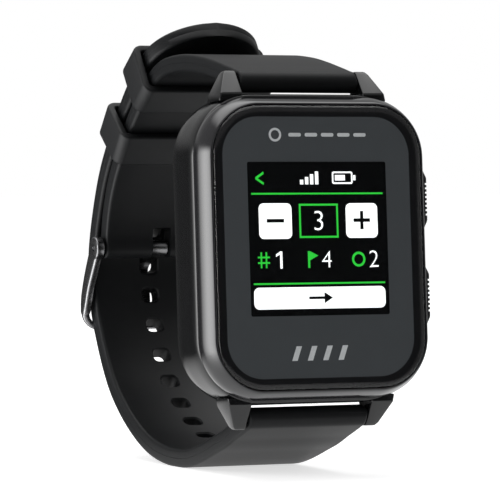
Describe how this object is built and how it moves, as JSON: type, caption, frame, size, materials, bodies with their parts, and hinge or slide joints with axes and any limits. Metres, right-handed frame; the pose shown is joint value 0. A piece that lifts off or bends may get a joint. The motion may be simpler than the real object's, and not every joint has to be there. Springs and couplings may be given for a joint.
{
  "type": "golf gps watch",
  "caption": "Wrist watch with a rectangular rounded case, square display, side push buttons and a buckled rubber strap closed into a loop with two keepers.",
  "frame": {"origin": "centre of the back cover's outer flat face", "axes": "+Y out of the back cover towards the wrist, +Z towards 12 o'clock, +X towards 3 o'clock where the buttons are"},
  "size_m": [0.0402, 0.0702, 0.0709],
  "materials": {
    "gloss_black": "gloss",
    "case_black": "satin",
    "cover_glass": "polished",
    "strap_rubber": "matt",
    "steel": "satin",
    "seal": "matt",
    "board": "satin",
    "ceramic": "matt",
    "inner_plastic": "matt",
    "foam": "matt",
    "battery_pouch": "satin",
    "gold_contact": "satin",
    "screen": "gloss"
  },
  "bodies": {
    "case": {"front_bezel": "gloss_black", "cover_glass": "cover_glass", "glass_gasket": "seal", "display_panel": "screen", "backlight": "inner_plastic", "display_bracket": "inner_plastic", "display_flex": "gold_contact", "mid_case": "case_black", "inner_frame": "inner_plastic", "main_board": "board", "gps_shield_can": "steel", "processor_shield_can": "steel", "gps_antenna": "ceramic", "upper_button_switch": "inner_plastic", "lower_button_switch": "inner_plastic", "battery": "battery_pouch", "battery_pad": "foam", "back_cover": "case_black", "back_gasket": "seal", "back_screw_1": "steel", "back_screw_2": "steel", "back_screw_3": "steel", "back_screw_4": "steel", "charge_contact_1": "gold_contact", "charge_contact_2": "gold_contact", "charge_contact_3": "gold_contact", "charge_contact_4": "gold_contact", "upper_spring_bar": "steel", "upper_spring_bar_coil": "steel", "lower_spring_bar": "steel", "lower_spring_bar_coil": "steel", "tail_strap": "strap_rubber", "buckle_strap": "strap_rubber", "fixed_keeper": "strap_rubber", "buckle_bar": "steel", "buckle_bar_coil": "steel"},
    "upper_button": {"upper_button": "case_black", "upper_button_seal": "seal", "upper_button_clip": "steel"},
    "lower_button": {"lower_button": "case_black", "lower_button_seal": "seal", "lower_button_clip": "steel"},
    "free_keeper": {"free_keeper": "strap_rubber"},
    "buckle_frame": {"buckle_frame": "steel"},
    "buckle_tongue": {"buckle_tongue": "steel"},
    "upper_spring_bar_left_pin": {"upper_spring_bar_left_pin": "steel"},
    "upper_spring_bar_right_pin": {"upper_spring_bar_right_pin": "steel"},
    "lower_spring_bar_left_pin": {"lower_spring_bar_left_pin": "steel"},
    "lower_spring_bar_right_pin": {"lower_spring_bar_right_pin": "steel"},
    "buckle_bar_left_pin": {"buckle_bar_left_pin": "steel"},
    "buckle_bar_right_pin": {"buckle_bar_right_pin": "steel"}
  },
  "joints": [
    {"name": "upper_button_press", "type": "slide", "parent": "case", "child": "upper_button", "axis": [-1, 0, 0], "range_m": [0, 0.0004]},
    {"name": "lower_button_press", "type": "slide", "parent": "case", "child": "lower_button", "axis": [-1, 0, 0], "range_m": [0, 0.0004]},
    {"name": "free_keeper_slide", "type": "slide", "parent": "case", "child": "free_keeper", "axis": [0, 0.8448, -0.5351], "range_m": [0, 0.0007]},
    {"name": "buckle_frame_swing", "type": "hinge", "parent": "case", "child": "buckle_frame", "pos_m": [0, 0.049, 0.0028], "axis": [1, 0, 0], "range_deg": [0, 1]},
    {"name": "buckle_tongue_swing", "type": "hinge", "parent": "buckle_frame", "child": "buckle_tongue", "pos_m": [0, 0.049, 0.0028], "axis": [1, 0, 0], "range_deg": [0, 1]},
    {"name": "upper_spring_bar_left_pin_press", "type": "slide", "parent": "case", "child": "upper_spring_bar_left_pin", "axis": [1, 0, 0], "range_m": [0, 0.0009]},
    {"name": "upper_spring_bar_right_pin_press", "type": "slide", "parent": "case", "child": "upper_spring_bar_right_pin", "axis": [-1, 0, 0], "range_m": [0, 0.0009]},
    {"name": "lower_spring_bar_left_pin_press", "type": "slide", "parent": "case", "child": "lower_spring_bar_left_pin", "axis": [1, 0, 0], "range_m": [0, 0.0009]},
    {"name": "lower_spring_bar_right_pin_press", "type": "slide", "parent": "case", "child": "lower_spring_bar_right_pin", "axis": [-1, 0, 0], "range_m": [0, 0.0009]},
    {"name": "buckle_bar_left_pin_press", "type": "slide", "parent": "case", "child": "buckle_bar_left_pin", "axis": [1, 0, 0], "range_m": [0, 0.0009]},
    {"name": "buckle_bar_right_pin_press", "type": "slide", "parent": "case", "child": "buckle_bar_right_pin", "axis": [-1, 0, 0], "range_m": [0, 0.0009]}
  ]
}
